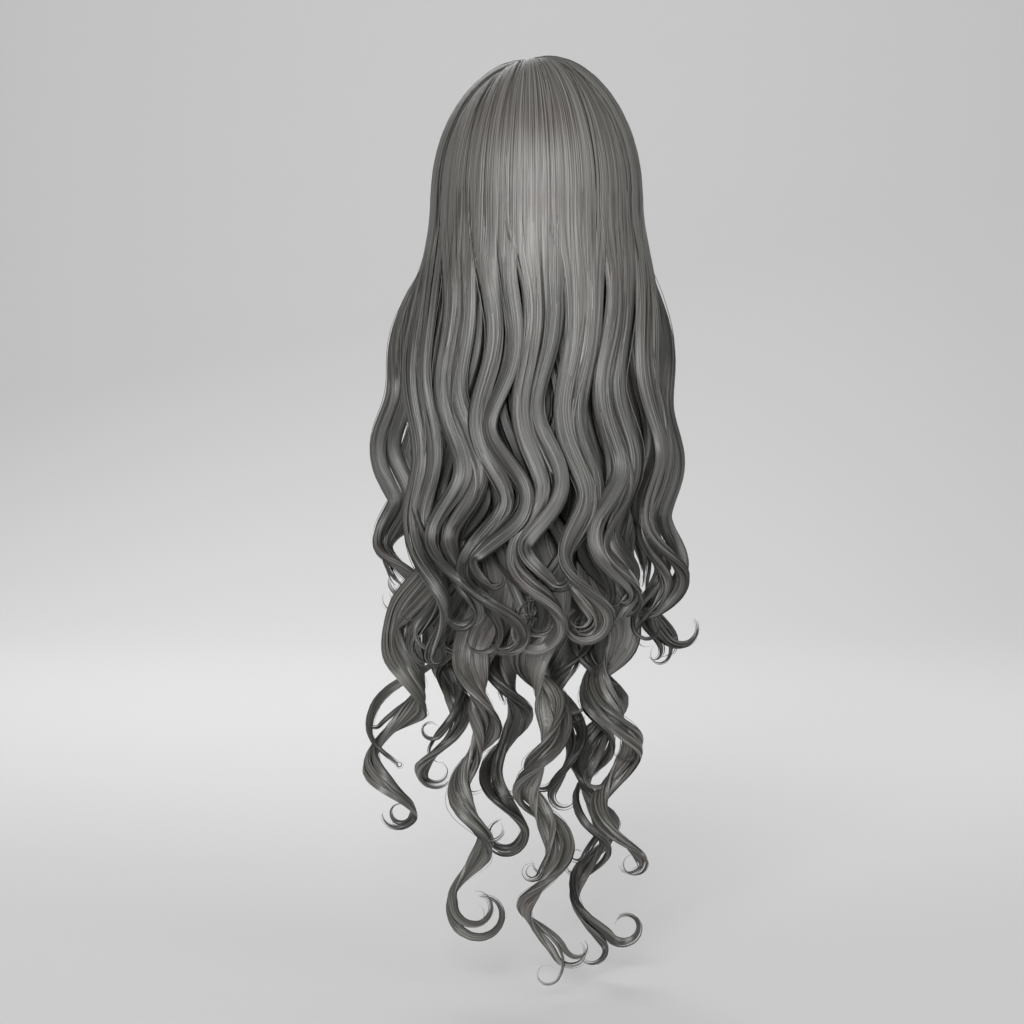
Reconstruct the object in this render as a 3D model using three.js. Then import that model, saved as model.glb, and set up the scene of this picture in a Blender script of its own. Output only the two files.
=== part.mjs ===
// A long curly wig: a hollow cap, and the locks of hair that are sewn to it.
// Millimetres, +Z up. The wearer faces -Y, so the back of the head is +Y and the wearer's left is +X.
// The origin is the middle of the opening that the head goes into.
import * as THREE from "three";

const { degToRad, lerp, clamp, smoothstep } = THREE.MathUtils;
const TURN = 2 * Math.PI;

// Driving sizes
const CAP = { halfWidth: 80, halfDepth: 97, height: 138, eavesZ: -20, wall: 1.6 };
const CAP_COLUMNS = 30;
const CAP_ROWS = 9;
const SEAT_GAP = 0.1; // between a lock's root and the round of the cap, whose flats add a little more
const PARTING = { x: 9, crownY: 24, fanRadius: 15, halfGap: 5 };
const MIDDLE_ROOT_Z = 70;
const MID_Z = -230; // the height of the shoulder blades, where each lock has a stated place
const ROUTE_STEPS = { crown: 30, hang: 220, curl: 36 };
// A tip's curl: its last radius as a share of its first, and its creep sideways, so that it clears itself
const CURL = { tighten: 0.55, drift: 0.28 };
const CORNER = { crown: 0.84, lock: 0.62 }; // where a section's flat faces end, as a share of its half width
const TAPER = 2.6; // how late a lock thins towards its tip
// How far apart a lock's sections are, in mm and in degrees of bend, and the least share of that for the last
const RING = { length: 60, bend: 40, least: 0.4 };

// The cap's edge: its height at each azimuth, from the nape round to the forehead
const CAP_EDGE = table(
  ["azimuth", "z"],
  [
    [0, -60],
    [55, -48],
    [90, -26],
    [125, 14],
    [180, 70],
  ],
);

// One row for each layer of hair. standOff is a lock's middle above the cap at the eaves, depth its distance
// behind the head's axis, round the depth that it loses with x squared, as hair on a rounded back does, and
// face the azimuth that side hair turns to. A wave starts at waveZ, has its stated phase at phaseZ, and
// between coilZ and coilFullZ opens into a coil that is coilShare as deep as it is wide.
const LAYERS = table(
  ["layer", "standOff", "midDepth", "tipDepth", "round", "face", "waveZ", "phaseZ", "topPitch", "tipPitch",
    "coilZ", "coilFullZ", "coilShare"],
  [
    ["outer", 30, 134, 166, 0.003, 0, -40, -75, 400, 114, -330, -430, 0.55],
    ["middle", 14.5, 118, 121, 0.003, 0, -50, -75, 400, 114, -380, -460, 0.15],
    ["near", 4.3, 100, 120, 0.003, 0, -100, -560, 150, 120, -440, -540, 1],
    ["far", 4.3, 82, 56, 0.003, 0, -120, -560, 150, 120, -440, -540, 1],
    ["side", 28, 44, 38, 0, 25, -60, -330, 400, 80, -300, -400, 0.4],
    ["ear", 28, -62, -82, 0, 110, -60, -200, 170, 125, -280, -360, 0.5],
    ["front", 28, -98, -112, 0, 140, -60, -200, 170, 125, -260, -340, 0.5],
  ],
);

// A lock's section in each layer: half its width and half its thickness on the way down
const SECTIONS = table(
  ["layer", "eavesWide", "midWide", "tipWide", "rootThick", "midThick", "tipThick"],
  [
    ["outer", 22, 17, 4, 4.5, 5.5, 2],
    ["middle", 17, 14, 3.5, 4.2, 4.6, 2],
    ["near", 9, 18, 3.5, 4, 4.2, 1.8],
    ["far", 9, 16, 3.5, 4, 4.2, 1.8],
    ["side", 25, 15, 3.5, 4.5, 5.5, 1.8],
    ["ear", 25, 15, 3.5, 4.5, 5.5, 1.8],
    ["front", 21, 14, 3.5, 4.5, 5, 1.8],
  ],
);

// The locks that fan out from the crown and hang down the back. midX and tipX are where a lock is at MID_Z
// and at its tip, swing is its wave's reach at the tip, phase is in turns, and hand is the way a coil winds.
const CROWN_LOCKS = table(
  ["name", "layer", "azimuth", "rootWide", "midX", "tipX", "tipZ", "swing", "phase", "hand", "curlRadius",
    "curlTurn"],
  [
    ["crown_lock_1", "outer", 48, 2.5, 80, 84, -424, 24, 0.48, 1, 17, 190],
    ["crown_lock_2", "outer", 24, 2.5, 40, 44, -446, 28, 0.5, 1, 17, 200],
    ["crown_lock_3", "outer", 0, 2.5, 0, 4, -432, 28, 0.5, 1, 16, 210],
    ["crown_lock_4", "outer", -24, 2.5, -40, -42, -444, 27, 0.5, 1, 17, 200],
    ["crown_lock_5", "outer", -48, 2.5, -80, -83, -430, 26, 0.5, 1, 16, 190],
  ],
);

// The locks along the parting: behind the ear, over the shoulder, over the ear, and beside the face
const PARTING_LOCKS = table(
  ["name", "layer", "azimuth", "rootY", "rootWide", "midX", "tipX", "tipZ", "swing", "phase", "hand",
    "curlRadius", "curlTurn"],
  [
    ["left_back_lock", "outer", 72, 20, 8, 121, 112, -452, 24, 0.48, 1, 16, 190],
    ["left_shoulder_lock", "side", 96, -6, 15, 140, 144, -436, 18, 0.5, 1, 14, 180],
    ["left_ear_lock", "ear", 120, -38, 15, 112, 112, -425, 16, 0.3, 1, 14, 180],
    ["left_front_lock", "front", 142, -66, 10, 74, 70, -385, 14, 0.4, 1, 14, 180],
    ["right_back_lock", "outer", -72, 20, 8, -119, -116, -455, 24, 0.52, 1, 16, 190],
    ["right_shoulder_lock", "side", -96, -6, 15, -128, -127, -478, 20, 0, -1, 14, 180],
    ["right_ear_lock", "ear", -120, -38, 15, -112, -112, -425, 16, 0.2, -1, 14, 180],
    ["right_front_lock", "front", -142, -66, 10, -74, -70, -385, 14, 0.1, -1, 14, 180],
  ],
);

// The locks sewn half way up the cap, which fill the gaps between the outer ones
const MIDDLE_LOCKS = table(
  ["name", "layer", "azimuth", "rootWide", "midX", "tipX", "tipZ", "swing", "phase", "hand", "curlRadius",
    "curlTurn"],
  [
    ["middle_lock_1", "middle", 58, 10, 100, 94, -455, 22, 0.5, 1, 15, 140],
    ["middle_lock_2", "middle", 36, 10, 60, 58, -448, 24, 0.52, 1, 15, 140],
    ["middle_lock_3", "middle", 12, 10, 20, 22, -456, 25, 0.54, 1, 15, 140],
    ["middle_lock_4", "middle", -12, 10, -20, -18, -450, 25, 0.54, 1, 15, 140],
    ["middle_lock_5", "middle", -36, 10, -60, -58, -446, 24, 0.52, 1, 15, 140],
    ["middle_lock_6", "middle", -58, 10, -98, -98, -436, 22, 0.5, 1, 15, 140],
  ],
);

// The long ringlets sewn along the nape, in two rows
const RINGLETS = table(
  ["name", "layer", "azimuth", "rootZ", "midX", "tipX", "tipZ", "swing", "phase", "hand", "curlRadius",
    "curlTurn"],
  [
    ["near_ringlet_1", "near", 42.5, -26, 91, 152, -670, 27, 0.72, 1, 20, 230],
    ["near_ringlet_2", "near", 17, -26, 45, 68, -757, 29, 0.5, 1, 29, 220],
    ["near_ringlet_3", "near", -10, -26, -3, -4, -802, 25, 0.5, -1, 20, 250],
    ["near_ringlet_4", "near", -35, -26, -62, -84, -700, 29, 0.34, 1, 20, 230],
    ["far_ringlet_1", "far", 29.6, -48, 62, 98, -640, 22, 0.5, -1, 18, 220],
    ["far_ringlet_2", "far", 4, -55, 22, 34, -690, 24, 0.5, 1, 22, 220],
    ["far_ringlet_3", "far", -22, -51, -30, -28, -640, 22, 0.3, -1, 20, 220],
    ["far_ringlet_4", "far", -46, -44, -88, -56, -796, 27, 0.33, 1, 22, 250],
  ],
);

// Each line of a table as an object with the named columns
function table(columns, lines) {
  return lines.map((line) => Object.fromEntries(columns.map((column, i) => [column, line[i]])));
}

// A level direction: azimuth 0 is straight back, and positive turns to the wearer's left
const outwardAt = (azimuth) => new THREE.Vector3(Math.sin(azimuth), Math.cos(azimuth), 0);

// The height of the cap's dome, grown by standOff, over a place in plan
function domeZ(x, y, standOff) {
  const across = x / (CAP.halfWidth + standOff);
  const along = y / (CAP.halfDepth + standOff);
  const fall = Math.max(0, 1 - across * across - along * along);
  return CAP.eavesZ + (CAP.height + standOff) * Math.sqrt(fall);
}

// The way straight out of that dome
function domeOutward(point, standOff) {
  return new THREE.Vector3(
    point.x / (CAP.halfWidth + standOff) ** 2,
    point.y / (CAP.halfDepth + standOff) ** 2,
    Math.max(0, point.z - CAP.eavesZ) / (CAP.height + standOff) ** 2,
  ).normalize();
}

// Where the dome, grown by standOff, meets an azimuth at a share of its full girth
function girthPoint(azimuth, standOff, share = 1) {
  return new THREE.Vector3(
    share * (CAP.halfWidth + standOff) * Math.sin(azimuth),
    share * (CAP.halfDepth + standOff) * Math.cos(azimuth),
    CAP.eavesZ,
  );
}

// Where a lock is sewn on, in plan
function rootPlan(lock, standOff) {
  const azimuth = degToRad(lock.azimuth);
  if (lock.rootY !== undefined) {
    const side = Math.sign(lock.azimuth);
    return new THREE.Vector3(PARTING.x + side * PARTING.halfGap, lock.rootY, 0);
  }
  if (lock.layer === "outer") {
    const crown = new THREE.Vector3(PARTING.x, PARTING.crownY, 0);
    return outwardAt(azimuth).multiplyScalar(PARTING.fanRadius).add(crown);
  }
  const rise = (MIDDLE_ROOT_Z - CAP.eavesZ) / (CAP.height + standOff);
  return girthPoint(azimuth, standOff, Math.sqrt(1 - rise * rise));
}

// The route over the crown, from the root to the eaves
function crownRoute(lock, layer, section) {
  const seat = section.rootThick + SEAT_GAP;
  const root = rootPlan(lock, seat);
  const eaves = girthPoint(degToRad(lock.azimuth), layer.standOff);
  const route = [];
  for (let i = 0; i < ROUTE_STEPS.crown; i++) {
    const share = Math.sin((i / ROUTE_STEPS.crown) * (Math.PI / 2));
    const standOff = lerp(seat, layer.standOff, share);
    const point = new THREE.Vector3().lerpVectors(root, eaves, share);
    point.z = domeZ(point.x, point.y, standOff);
    route.push({
      point,
      outward: domeOutward(point, standOff),
      twist: 0,
      wide: lerp(lock.rootWide, section.eavesWide, share),
      thick: lerp(section.rootThick, section.midThick, share),
      corner: CORNER.crown,
    });
  }
  return route;
}

// The turns that a wave has made at height z, with a pitch that shortens steadily towards the tip
function turnsAt(z, lock, layer) {
  const fall = layer.waveZ - lock.tipZ;
  const count = (height) => {
    const share = (layer.waveZ - height) / fall;
    return fall * (share / layer.topPitch + ((1 / layer.tipPitch - 1 / layer.topPitch) * share * share) / 2);
  };
  return lock.phase + count(z) - count(layer.phaseZ);
}

// The route below the eaves, or below a root on the nape: straight, then waved, then coiled
function hangRoute(lock, layer, section) {
  const azimuth = degToRad(lock.azimuth);
  const fromNape = lock.rootZ !== undefined;
  const topZ = fromNape ? lock.rootZ : CAP.eavesZ;
  const topThick = fromNape ? section.rootThick : section.midThick;
  const top = girthPoint(azimuth, layer.standOff);
  const midDepth = layer.midDepth - layer.round * lock.midX ** 2;
  const tipDepth = layer.tipDepth - layer.round * lock.tipX ** 2;
  const faceSide = degToRad(layer.face) * Math.sign(lock.azimuth);
  const route = [];
  let twist = 0;
  let angle = TURN * turnsAt(topZ, lock, layer);
  for (let i = 0; i <= ROUTE_STEPS.hang; i++) {
    const z = lerp(topZ, lock.tipZ, i / ROUTE_STEPS.hang);
    const settle = smoothstep(topZ - z, 0, topZ - MID_Z);
    const fall = smoothstep(MID_Z - z, 0, MID_Z - lock.tipZ);
    const axisX = lerp(top.x, lock.midX, settle) + (lock.tipX - lock.midX) * fall;
    const axisY = lerp(top.y, midDepth, settle) + (tipDepth - midDepth) * fall;
    const face = lerp(azimuth, faceSide + Math.atan(2 * layer.round * axisX), settle);
    const outward = outwardAt(face);
    const sideways = outwardAt(face + Math.PI / 2);
    const along = clamp((layer.waveZ - z) / (layer.waveZ - lock.tipZ), 0, 1);
    const coil = layer.coilShare * smoothstep(layer.coilZ - z, 0, layer.coilZ - layer.coilFullZ);
    const lastAngle = angle;
    angle = TURN * turnsAt(z, lock, layer);
    twist -= lock.hand * coil * (angle - lastAngle);
    const point = new THREE.Vector3(axisX, axisY, z)
      .addScaledVector(sideways, lock.swing * along * Math.cos(angle))
      .addScaledVector(outward, lock.swing * along * coil * lock.hand * Math.sin(angle));
    route.push({
      point,
      outward,
      twist,
      along,
      hangs: settle === 1,
      wide: lerp(section.eavesWide, section.midWide, settle),
      thick: lerp(topThick, section.midThick, settle),
      corner: lerp(fromNape ? CORNER.lock : CORNER.crown, CORNER.lock, settle),
      radial: sideways.multiplyScalar(Math.cos(angle)).addScaledVector(outward, lock.hand * Math.sin(angle)),
    });
  }
  // The last of the twist turns the flat of the lock to face straight out of its coil
  const rest = Math.atan2(Math.cos(angle), lock.hand * Math.sin(angle)) - twist;
  const halfTurns = Math.round(rest / Math.PI);
  route.forEach((step) => {
    step.twist += (rest - halfTurns * Math.PI) * step.along ** 3;
  });
  return route;
}

// Gives each step of a route its tangent, and its normal, which is the way out of the lock's flat face
function frameRoute(route) {
  route.forEach((step, i) => {
    const before = route[Math.max(0, i - 1)].point;
    const after = route[Math.min(route.length - 1, i + 1)].point;
    step.tangent = new THREE.Vector3().subVectors(after, before).normalize();
    step.normal = step.outward.clone().projectOnPlane(step.tangent).normalize();
    step.normal.applyAxisAngle(step.tangent, step.twist);
  });
}

// The curl at the tip: an arc that bends on over the lock's flat face, and tightens
function curlRoute(lock, last) {
  const inward = last.normal.dot(last.radial) > 0 ? -1 : 1;
  const tangent = last.tangent.clone();
  const toCentre = last.normal.clone().multiplyScalar(inward);
  const creep = new THREE.Vector3().crossVectors(tangent, toCentre);
  const step = degToRad(lock.curlTurn) / ROUTE_STEPS.curl;
  const point = last.point.clone();
  const route = [];
  for (let i = 1; i <= ROUTE_STEPS.curl; i++) {
    tangent.applyAxisAngle(creep, step);
    toCentre.applyAxisAngle(creep, step);
    const radius = lock.curlRadius * lerp(1, CURL.tighten, i / ROUTE_STEPS.curl);
    point.addScaledVector(tangent, radius * step).addScaledVector(creep, CURL.drift * radius * step);
    const normal = toCentre.clone().multiplyScalar(inward);
    route.push({ ...last, point: point.clone(), tangent: tangent.clone(), normal });
  }
  return route;
}

// Thins a lock towards its tip, and measures its length at each step
function thinRoute(route, section) {
  let length = 0;
  route.forEach((step, i) => {
    length += i ? step.point.distanceTo(route[i - 1].point) : 0;
    step.length = length;
  });
  const start = route.find((step) => step.hangs).length;
  route.filter((step) => step.hangs).forEach((step) => {
    const share = ((step.length - start) / (length - start)) ** TAPER;
    step.wide = lerp(section.midWide, section.tipWide, share);
    step.thick = lerp(section.midThick, section.tipThick, share);
  });
}

function lockRoute(lock) {
  const layer = LAYERS.find((row) => row.layer === lock.layer);
  const section = SECTIONS.find((row) => row.layer === lock.layer);
  const hang = hangRoute(lock, layer, section);
  const route = lock.rootZ === undefined ? [...crownRoute(lock, layer, section), ...hang] : hang;
  frameRoute(route);
  route.push(...curlRoute(lock, route.at(-1)));
  thinRoute(route, section);
  return route;
}

// Picks the steps that get a section, closer together where the lock bends
function sectionSteps(route) {
  const picked = [route[0]];
  let due = 0;
  for (let i = 1; i < route.length; i++) {
    const bend = route[i].tangent.angleTo(route[i - 1].tangent);
    due += (route[i].length - route[i - 1].length) / RING.length + bend / degToRad(RING.bend);
    if (due >= 1) {
      picked.push(route[i]);
      due -= 1;
    }
  }
  if (due < RING.least) {
    picked.pop();
  }
  picked.push(route.at(-1));
  return picked;
}

// The six corners of a lock's section, round its flat faces
function sectionRing({ point, tangent, normal, wide, thick, corner }) {
  const across = new THREE.Vector3().crossVectors(tangent, normal);
  const corners = [[1, 0], [corner, 1], [-corner, 1], [-1, 0], [-corner, -1], [corner, -1]];
  return corners.map(([u, v]) =>
    point.clone().addScaledVector(across, u * wide).addScaledVector(normal, v * thick));
}

// A closed solid through rings of corners that all have the same count
function loftRings(rings) {
  const sides = rings[0].length;
  const last = (rings.length - 1) * sides;
  const index = [];
  for (let row = 0; row < last; row += sides) {
    for (let k = 0; k < sides; k++) {
      const a = row + k;
      const b = row + ((k + 1) % sides);
      index.push(a, a + sides, b + sides, a, b + sides, b);
    }
  }
  for (let k = 1; k < sides - 1; k++) {
    index.push(0, k, k + 1);
    index.push(last, last + k + 1, last + k);
  }
  return meshGeometry(rings.flat(), index);
}

function meshGeometry(points, index) {
  const geometry = new THREE.BufferGeometry().setFromPoints(points);
  geometry.setIndex(index);
  geometry.computeVertexNormals();
  return geometry;
}

// The height of the cap's edge at an azimuth, from the rows of its table
function edgeZ(azimuth) {
  const away = Math.abs(THREE.MathUtils.radToDeg(Math.atan2(Math.sin(azimuth), Math.cos(azimuth))));
  const next = Math.max(1, CAP_EDGE.findIndex((row) => row.azimuth >= away - 1e-6));
  const [low, high] = [CAP_EDGE[next - 1], CAP_EDGE[next]];
  return lerp(low.z, high.z, smoothstep(away, low.azimuth, high.azimuth));
}

// A place on the cap's skin at a share of the way from its top to its edge; inset goes in from the outside
function capPoint(azimuth, share, inset) {
  const height = CAP.height - inset;
  const rim = edgeZ(azimuth) - CAP.eavesZ;
  const domeEnd = Math.acos(clamp(rim / height, 0, 1));
  const skirt = Math.max(0, -rim);
  const travel = share * (domeEnd * height + skirt);
  const polar = Math.min(domeEnd, travel / height);
  const point = girthPoint(azimuth, -inset, Math.sin(polar));
  point.z += height * Math.cos(polar) - Math.max(0, travel - domeEnd * height);
  return point;
}

function capGeometry() {
  const points = [];
  const index = [];
  for (const inset of [0, CAP.wall]) {
    for (let row = 1; row <= CAP_ROWS; row++) {
      for (let column = 0; column < CAP_COLUMNS; column++) {
        points.push(capPoint((TURN * column) / CAP_COLUMNS, row / CAP_ROWS, inset));
      }
    }
    points.push(capPoint(0, 0, inset));
  }
  const skin = CAP_ROWS * CAP_COLUMNS + 1;
  const at = (inner, row, column) => inner * skin + row * CAP_COLUMNS + (column % CAP_COLUMNS);
  const face = (inner, a, b, c) => index.push(...(inner ? [a, c, b] : [a, b, c]));
  for (let column = 0; column < CAP_COLUMNS; column++) {
    for (const inner of [0, 1]) {
      face(inner, inner * skin + skin - 1, at(inner, 0, column + 1), at(inner, 0, column));
      for (let row = 0; row < CAP_ROWS - 1; row++) {
        face(inner, at(inner, row, column), at(inner, row, column + 1), at(inner, row + 1, column));
        face(inner, at(inner, row, column + 1), at(inner, row + 1, column + 1), at(inner, row + 1, column));
      }
    }
    const edge = CAP_ROWS - 1;
    index.push(at(0, edge, column), at(0, edge, column + 1), at(1, edge, column));
    index.push(at(0, edge, column + 1), at(1, edge, column + 1), at(1, edge, column));
  }
  return meshGeometry(points, index);
}

function addPiece(group, name, geometry, material) {
  const mesh = new THREE.Mesh(geometry, material);
  mesh.name = name;
  group.add(mesh);
}

const wig = new THREE.Group();
wig.name = "long_curly_wig";

const cap = new THREE.MeshStandardMaterial({ name: "cap_net", color: 0x3a3a38, roughness: 0.9 });
addPiece(wig, "wig_cap", capGeometry(), cap);
for (const lock of [...CROWN_LOCKS, ...PARTING_LOCKS, ...MIDDLE_LOCKS, ...RINGLETS]) {
  const hair = new THREE.MeshStandardMaterial({ name: "hair_fibre", color: 0x83827e, roughness: 0.5 });
  addPiece(wig, lock.name, loftRings(sectionSteps(lockRoute(lock)).map(sectionRing)), hair);
}

export default wig;
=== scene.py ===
"""A long curly wig: waved locks and coiled ringlets of synthetic hair on a stretch-net cap."""
import math
from functools import partial

import bpy
import numpy as np
from bpy.props import FloatProperty, FloatVectorProperty, IntProperty, PointerProperty
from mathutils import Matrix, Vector


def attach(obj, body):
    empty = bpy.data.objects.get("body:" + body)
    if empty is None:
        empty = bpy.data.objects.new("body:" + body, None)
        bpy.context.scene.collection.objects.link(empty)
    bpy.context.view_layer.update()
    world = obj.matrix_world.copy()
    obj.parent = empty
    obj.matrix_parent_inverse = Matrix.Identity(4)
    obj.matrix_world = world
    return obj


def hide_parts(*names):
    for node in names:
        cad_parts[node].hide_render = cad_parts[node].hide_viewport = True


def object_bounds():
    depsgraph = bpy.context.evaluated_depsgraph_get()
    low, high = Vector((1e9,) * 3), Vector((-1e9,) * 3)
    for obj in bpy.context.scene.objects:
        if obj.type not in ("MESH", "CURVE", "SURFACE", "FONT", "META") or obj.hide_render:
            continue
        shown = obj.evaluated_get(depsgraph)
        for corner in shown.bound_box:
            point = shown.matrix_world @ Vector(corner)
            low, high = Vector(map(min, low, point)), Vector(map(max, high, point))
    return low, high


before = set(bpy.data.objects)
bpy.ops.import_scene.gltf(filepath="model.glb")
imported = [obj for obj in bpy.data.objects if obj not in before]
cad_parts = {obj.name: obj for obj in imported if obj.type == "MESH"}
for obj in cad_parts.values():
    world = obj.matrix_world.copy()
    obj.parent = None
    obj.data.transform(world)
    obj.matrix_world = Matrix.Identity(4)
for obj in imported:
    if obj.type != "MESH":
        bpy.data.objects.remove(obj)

bl_info = {
    "name": "Long Curly Wig",
    "version": (1, 0, 0),
    "blender": (4, 5, 0),
    "location": "3D View > Sidebar > Wig",
    "description": "Builds a long curly wig from locks of hair, with a studio stage",
    "category": "Add Mesh",
}

MM = 0.001
TURN = 2 * math.pi
CAD_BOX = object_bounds()
PHOTO_SIZE = 1024  # pixels along each side of the picture
SEED = 7
TREE_NAME = "Lock of hair"
HAIR_NAME = "synthetic hair fibre, drawn and dyed grey"


def table(columns, *lines):
    """Each line as a dictionary with the named columns."""
    names = columns.split()
    return [dict(zip(names, line)) for line in lines]


# The cap and the parting, in millimetres. The wearer faces -Y and the wearer's left is +X.
CAP = {"halfWidth": 80, "halfDepth": 97, "height": 138, "eavesZ": -20, "wall": 1.6}
PARTING = {"x": 9, "halfGap": 5}
# Where the crown locks are rooted: further forward and apart than their solids, out of sight over the top
CROWN_FAN = {"y": 0, "reach": np.array([30, 15, 0])}
SEAT_GAP = 0.1  # between the cap and the underside of a lock
MIDDLE_ROOT_Z = 70  # how high on the cap the middle locks are sewn
MID_Z = -230  # where a lock has settled into its layer
LOOSE_FALL = 105  # mm below the eaves by which the hair hangs free
ROUTE_STEPS = {"crown": 30, "hang": 220, "curl": 36}
CURL = {"tighten": 0.6, "drift": 0.16, "lookBack": 12, "flatten": 0.15}
TAPER = 5  # the hair keeps its width for longer than its solid does, and thins only towards its last curl
# The lower tier hangs as a wider sheet down to where its ringlets part, in millimetres below the origin
SHEET = {"wider": 0.5, "whole": 470, "parted": 590}
# How far a lock may reach into a bend, as a share of the bend's radius, taken over some steps of its route,
# and how sharply that limit sets in
PINCH = {"share": 0.8, "steps": 9, "power": 4}
CAP_TOP = 1e-4  # the first ring of the net, as a share of the way from its top to its edge
CAP_EDGE = table("azimuth z", (0, -60), (55, -48), (90, -26), (125, 14), (180, 70))

# The layers of hair: a lock in each starts out from the same line as its solid
LAYERS = {row["layer"]: row for row in table(
    "layer standOff midDepth tipDepth round face waveZ phaseZ topPitch tipPitch coilZ coilFullZ coilShare",
    ("outer", 30, 134, 166, 0.003, 0, -40, -75, 400, 114, -330, -430, 0.55),
    ("middle", 14.5, 118, 121, 0.003, 0, -50, -75, 400, 114, -380, -460, 0.15),
    ("near", 4.3, 100, 120, 0.003, 0, -100, -560, 150, 120, -440, -540, 1),
    ("far", 4.3, 82, 56, 0.003, 0, -120, -560, 150, 120, -440, -540, 1),
    ("side", 28, 44, 38, 0, 25, -60, -330, 400, 80, -300, -400, 0.4),
    ("ear", 28, -62, -82, 0, 110, -60, -200, 170, 125, -280, -360, 0.5),
    ("front", 28, -98, -112, 0, 140, -60, -200, 170, 125, -260, -340, 0.5),
)}
# Half the width and half the thickness of a lock: its solid's, and a little less wide for the ringlets
SECTIONS = {row["layer"]: row for row in table(
    "layer eavesWide midWide tipWide rootThick midThick tipThick",
    ("outer", 22, 17, 4, 4.5, 5.5, 2),
    ("middle", 17, 14, 3.5, 4.2, 4.6, 2),
    ("near", 9, 16, 3.5, 4, 4.2, 1.8),
    ("far", 9, 15, 3.5, 4, 4.2, 1.8),
    ("side", 25, 15, 3.5, 4.5, 5.5, 1.8),
    ("ear", 25, 15, 3.5, 4.5, 5.5, 1.8),
    ("front", 21, 14, 3.5, 4.5, 5, 1.8),
)}
CROWN_LOCKS = table(
    "name layer azimuth rootWide midX tipX tipZ swing phase hand curlRadius curlTurn",
    ("crown_lock_1", "outer", 48, 2.5, 80, 84, -424, 24, 0.48, 1, 17, 190),
    ("crown_lock_2", "outer", 24, 2.5, 40, 44, -446, 28, 0.5, 1, 17, 200),
    ("crown_lock_3", "outer", 0, 2.5, 0, 4, -432, 28, 0.5, 1, 16, 210),
    ("crown_lock_4", "outer", -24, 2.5, -40, -42, -444, 27, 0.5, 1, 17, 200),
    ("crown_lock_5", "outer", -48, 2.5, -80, -83, -430, 26, 0.5, 1, 16, 190),
)
PARTING_LOCKS = table(
    "name layer azimuth rootY rootWide midX tipX tipZ swing phase hand curlRadius curlTurn",
    ("left_back_lock", "outer", 72, 20, 8, 121, 112, -452, 24, 0.48, 1, 16, 190),
    ("left_shoulder_lock", "side", 96, -6, 15, 140, 144, -436, 18, 0.5, 1, 14, 180),
    ("left_ear_lock", "ear", 120, -38, 15, 112, 112, -425, 16, 0.3, 1, 14, 180),
    ("left_front_lock", "front", 142, -66, 10, 74, 70, -385, 14, 0.4, 1, 14, 180),
    ("right_back_lock", "outer", -72, 20, 8, -119, -116, -455, 24, 0.52, 1, 16, 190),
    ("right_shoulder_lock", "side", -96, -6, 15, -128, -127, -478, 20, 0, -1, 14, 180),
    ("right_ear_lock", "ear", -120, -38, 15, -112, -112, -425, 16, 0.2, -1, 14, 180),
    ("right_front_lock", "front", -142, -66, 10, -74, -70, -385, 14, 0.1, -1, 14, 180),
)
MIDDLE_LOCKS = table(
    "name layer azimuth rootWide midX tipX tipZ swing phase hand curlRadius curlTurn",
    ("middle_lock_1", "middle", 58, 10, 100, 94, -455, 22, 0.5, 1, 15, 140),
    ("middle_lock_2", "middle", 36, 10, 60, 58, -448, 24, 0.52, 1, 15, 140),
    ("middle_lock_3", "middle", 12, 10, 20, 22, -456, 25, 0.54, 1, 15, 140),
    ("middle_lock_4", "middle", -12, 10, -20, -18, -450, 25, 0.54, 1, 15, 140),
    ("middle_lock_5", "middle", -36, 10, -60, -58, -446, 24, 0.52, 1, 15, 140),
    ("middle_lock_6", "middle", -58, 10, -98, -98, -436, 22, 0.5, 1, 15, 140),
)
RINGLETS = table(
    "name layer azimuth rootZ midX tipX tipZ swing phase hand curlRadius curlTurn",
    ("near_ringlet_1", "near", 42.5, -26, 91, 152, -670, 27, 0.72, 1, 20, 230),
    ("near_ringlet_2", "near", 17, -26, 45, 68, -757, 29, 0.5, 1, 29, 220),
    ("near_ringlet_3", "near", -10, -26, -3, -4, -802, 25, 0.5, -1, 20, 250),
    ("near_ringlet_4", "near", -35, -26, -62, -84, -700, 29, 0.34, 1, 20, 230),
    ("far_ringlet_1", "far", 29.6, -48, 62, 98, -640, 22, 0.5, -1, 18, 220),
    ("far_ringlet_2", "far", 4, -55, 22, 34, -690, 24, 0.5, 1, 22, 220),
    ("far_ringlet_3", "far", -22, -51, -30, -28, -640, 22, 0.3, -1, 20, 220),
    ("far_ringlet_4", "far", -46, -44, -88, -56, -796, 27, 0.33, 1, 22, 250),
)

# How each layer's locks part into tresses: how many, how far the outermost sit across the lock and how wide
# each is, as shares of the lock's half width, the thin wisps and the shorter fill beside them, the ribbons
# and strands on each, how light the layer is (the middle and far layers, which lie under the others, are
# painted darker for the shade there), how much the tresses differ in length (mm) and in their place
# along the wave (turns), and how far their ribbons drift (mm)
TRESSES = {row["layer"]: row for row in table(
    "layer count spread wide wisps fills ribbons strands light stagger shift wander",
    ("outer", 2, 0.5, 0.58, 2, 0, 14, 4, 0.43, 46, 0.035, 7),
    ("middle", 2, 0.62, 0.6, 0, 0, 7, 0, 0.05, 30, 0.05, 8),
    ("near", 2, 0.38, 0.6, 1, 2, 11, 3, 0.78, 12, 0.015, 4),
    ("far", 2, 0.38, 0.6, 0, 4, 8, 2, 0.5, 14, 0.02, 4),
    ("side", 3, 0.75, 0.6, 1, 0, 12, 4, 0.42, 22, 0.03, 5),
    ("ear", 2, 0.5, 0.58, 1, 0, 12, 3, 0.45, 20, 0.04, 6),
    ("front", 2, 0.5, 0.58, 1, 0, 12, 3, 0.48, 20, 0.04, 6),
)}
OWN_SPREAD = {"left_shoulder_lock": 1.1}  # locks that spread wider than their layer's
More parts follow.
